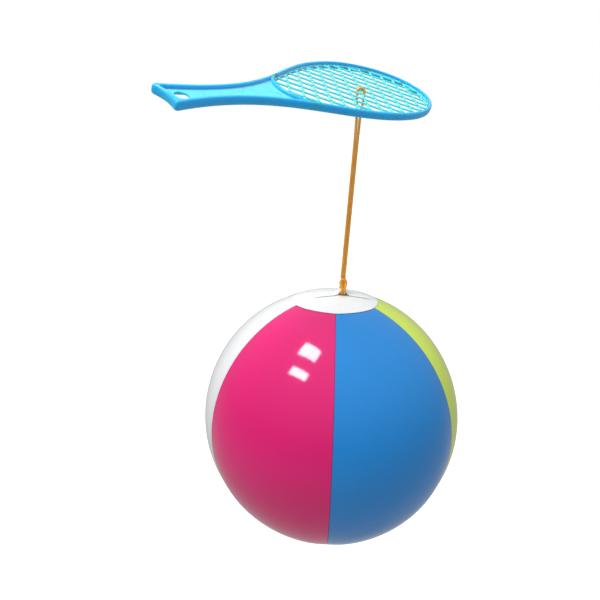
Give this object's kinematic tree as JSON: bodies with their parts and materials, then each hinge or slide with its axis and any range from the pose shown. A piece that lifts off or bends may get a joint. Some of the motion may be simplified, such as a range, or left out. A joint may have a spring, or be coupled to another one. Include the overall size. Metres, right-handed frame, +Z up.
{
  "type": "toy racket set",
  "caption": "Moulded toy racket with a diamond net and a hollow-backed handle, and an inflated ball hung from the net on a looped rubber band.",
  "frame": {"origin": "on the upper face of the handle's web, on the racket's centre line, where the hand closes on the handle", "axes": "+Z up as the set is held with the ball hanging straight down, +X along the racket towards its tip, +Y towards the raised far side of the racket"},
  "size_m": [0.3224, 0.2442, 0.4543],
  "materials": {
    "racket_blue": "bright blue injection-moulded plastic, semi-gloss",
    "net_cyan": "the same plastic, lighter where it is thin",
    "band_amber": "amber rubber, slightly translucent",
    "patch_white": "white glossy vinyl film",
    "film_pink": "pink glossy vinyl film",
    "film_blue": "blue glossy vinyl film",
    "film_lime": "lime glossy vinyl film",
    "film_white": "white glossy vinyl film",
    "valve_white": "soft milky vinyl"
  },
  "bodies": {
    "racket": {"racket_frame": "racket_blue", "racket_net": "net_cyan"},
    "band_loop": {"band_top_loop": "band_amber"},
    "band_upper": {"band_upper_left": "band_amber", "band_upper_right": "band_amber"},
    "band_lower": {"band_lower_left": "band_amber", "band_lower_right": "band_amber"},
    "hitch": {"band_hitch": "band_amber"},
    "ball": {"tether_strap": "patch_white", "top_patch": "patch_white", "bottom_patch": "patch_white", "gore_blue": "film_blue", "gore_lime": "film_lime", "gore_blue_back": "film_blue", "gore_pink_back": "film_pink", "gore_white": "film_white", "gore_pink": "film_pink", "valve_flange": "valve_white"},
    "stem": {"valve_stem": "valve_white"},
    "plug": {"valve_plug": "valve_white"}
  },
  "joints": [
    {"name": "loop_turn", "type": "hinge", "parent": "racket", "child": "band_loop", "pos_m": [0.13914, -0.00372, 0.00986], "axis": [0.6193, 0.7027, 0.3501], "range_deg": [-40, 40]},
    {"name": "band_swing", "type": "hinge", "parent": "band_loop", "child": "band_upper", "pos_m": [0.13914, -0.00372, 0.00341], "axis": [0.7502, -0.6612, 0], "range_deg": [-40, 40]},
    {"name": "band_stretch", "type": "slide", "parent": "band_upper", "child": "band_lower", "axis": [0, 0, -1], "range_m": [-0.012, 0.22], "stiffness_N_per_m": 60, "springref_m": -0.0122, "deforming": ["band_upper_left", "band_upper_right"]},
    {"name": "ball_twist", "type": "hinge", "parent": "band_lower", "child": "hitch", "pos_m": [0.13914, -0.00372, -0.15139], "axis": [0, 0, 1], "range_deg": [-180, 180], "stiffness_Nm_per_rad": 0.001},
    {"name": "ball_tilt", "type": "hinge", "parent": "hitch", "child": "ball", "pos_m": [0.13914, -0.00372, -0.16389], "axis": [0.7502, -0.6612, 0], "range_deg": [-15, 15], "deforming": ["tether_strap"]},
    {"name": "valve_pull", "type": "slide", "parent": "ball", "child": "stem", "axis": [0.0199, -0.044, -0.9988], "range_m": [0, 0.009]},
    {"name": "plug_pull", "type": "slide", "parent": "stem", "child": "plug", "axis": [0.0199, -0.044, -0.9988], "range_m": [0, 0.008]}
  ]
}
